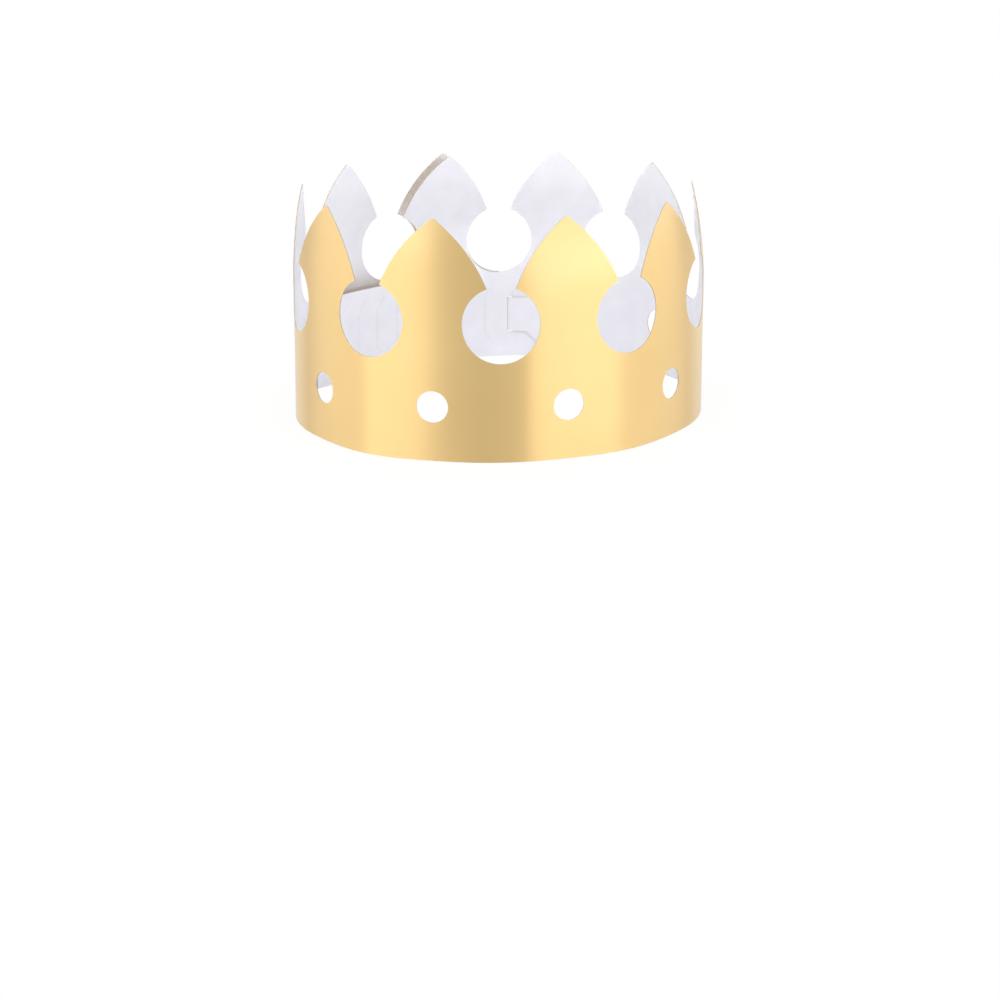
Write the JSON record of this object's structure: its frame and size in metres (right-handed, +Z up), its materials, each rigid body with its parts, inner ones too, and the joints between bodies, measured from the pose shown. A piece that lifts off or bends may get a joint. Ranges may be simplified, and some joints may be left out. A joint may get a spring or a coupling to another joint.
{
  "type": "paper crown",
  "caption": "Gold paper crown: a die-cut card strip with pointed tips and punched holes, bent into a ring and locked by a tongue pushed through a slit.",
  "frame": {"origin": "middle of the ring, on the plane of its bottom edge", "axes": "+Z up through the points, -Y out of the front, +X to the right seen from the front"},
  "size_m": [0.1618, 0.1633, 0.0907],
  "materials": {
    "gold_card": "glossy gold foil outside, matt white inside"
  },
  "bodies": {
    "root": {"crown_band": "gold_card"}
  },
  "joints": []
}
